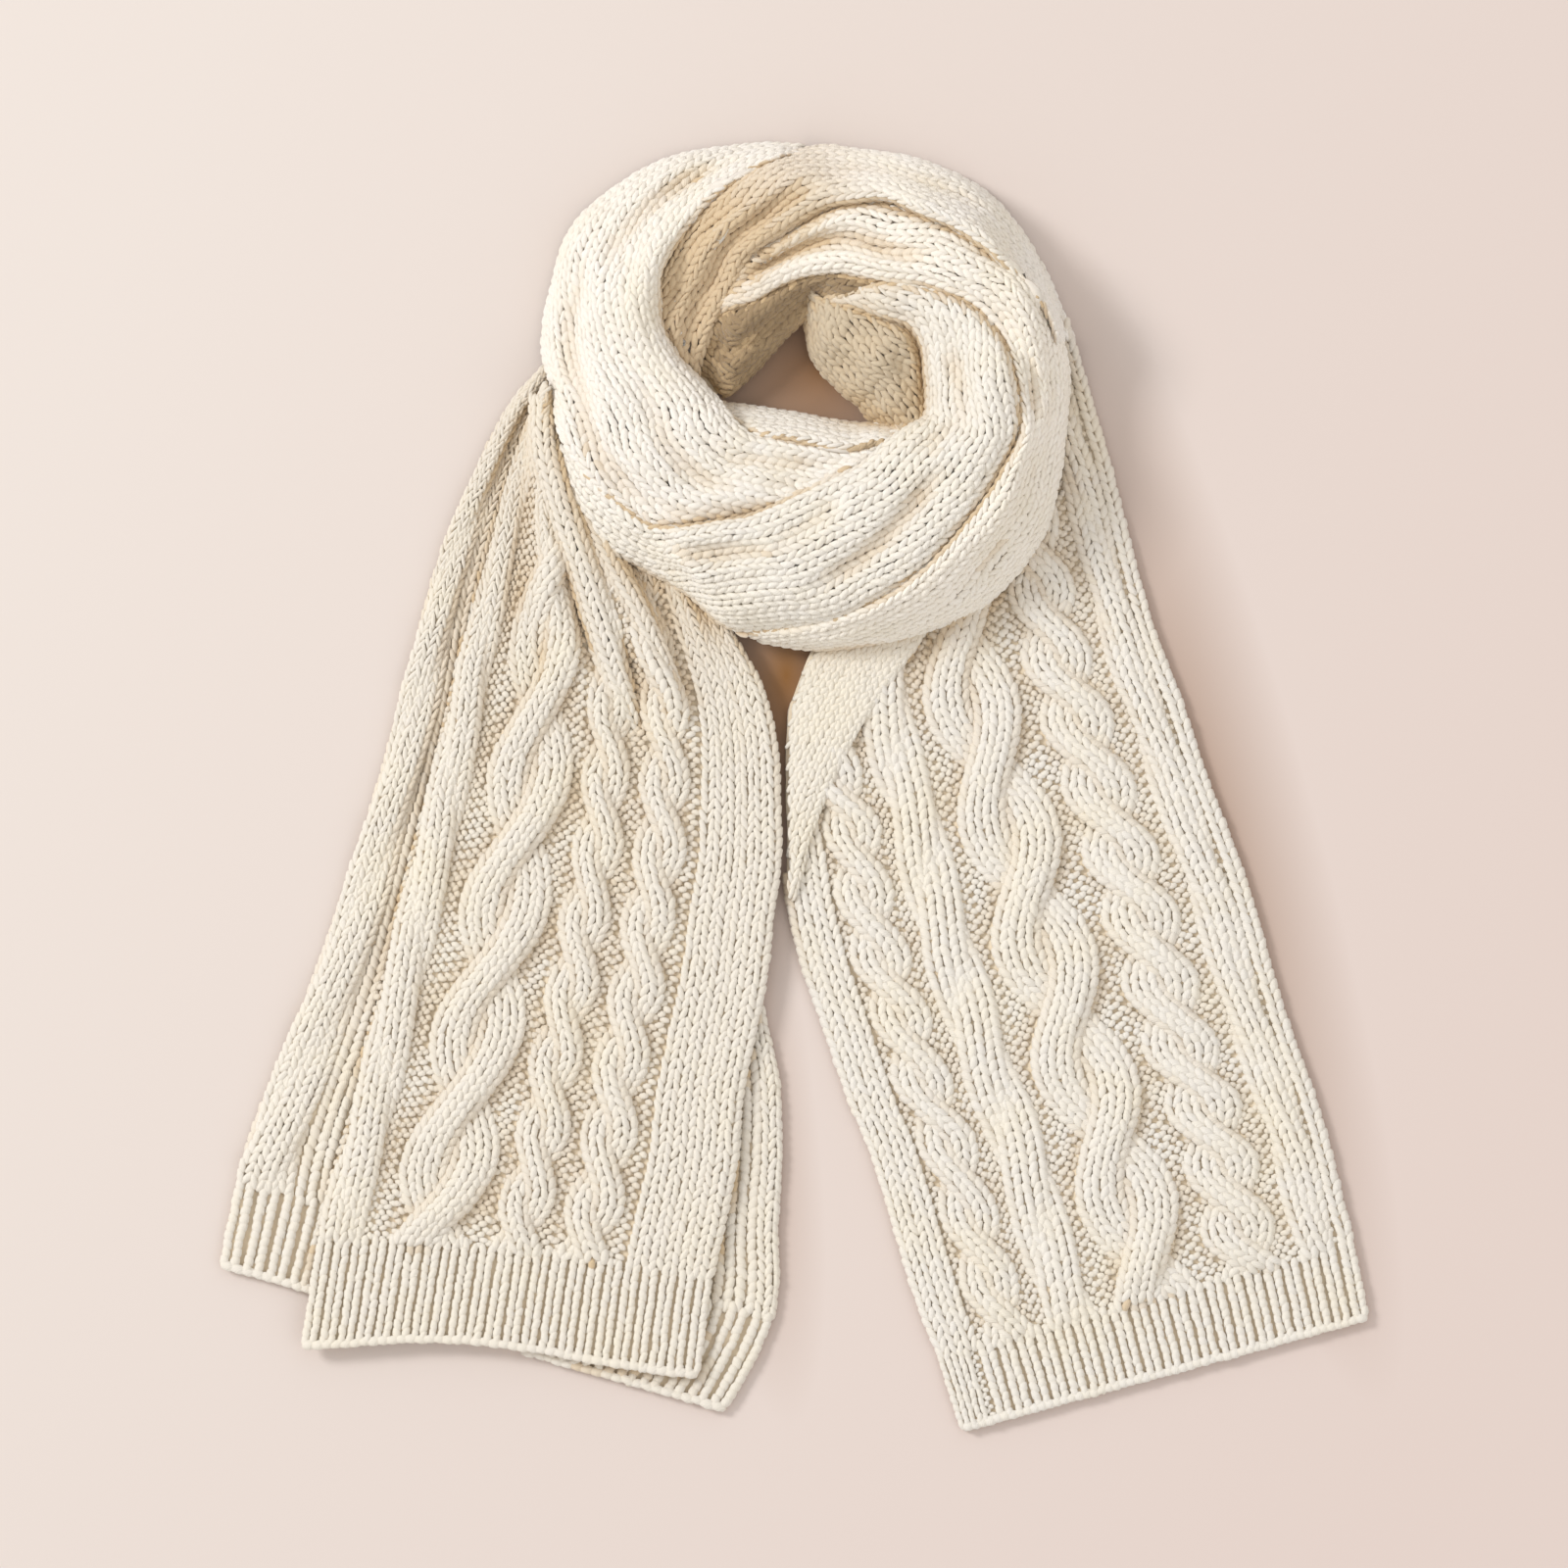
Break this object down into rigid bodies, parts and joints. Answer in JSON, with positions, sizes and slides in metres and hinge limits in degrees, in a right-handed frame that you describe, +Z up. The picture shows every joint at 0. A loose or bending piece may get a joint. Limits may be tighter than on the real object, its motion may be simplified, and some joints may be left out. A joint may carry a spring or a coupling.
{
  "type": "knit scarf",
  "caption": "Cable-knit wool scarf wound into a thick ring and lying flat, with ribbed tails spread below it.",
  "frame": {"origin": "the middle of the scarf's outline on the surface that it lies on", "axes": "+Z up from the surface, +Y from the hems towards the ring, +X to the right, seen from above with the ring at the top"},
  "size_m": [0.612, 0.68, 0.0619],
  "materials": {
    "cream_wool": "matt knitted wool"
  },
  "bodies": {
    "root": {"right_tail": "cream_wool", "right_tail_turn": "cream_wool", "right_hem": "cream_wool", "left_tail": "cream_wool", "left_hem": "cream_wool", "under_tail": "cream_wool", "under_hem": "cream_wool", "left_wrap": "cream_wool", "hole_lip": "cream_wool", "top_wrap": "cream_wool", "outer_wrap": "cream_wool", "front_wrap": "cream_wool", "inner_back": "cream_wool", "right_fold": "cream_wool", "ring_core": "cream_wool"}
  },
  "joints": []
}
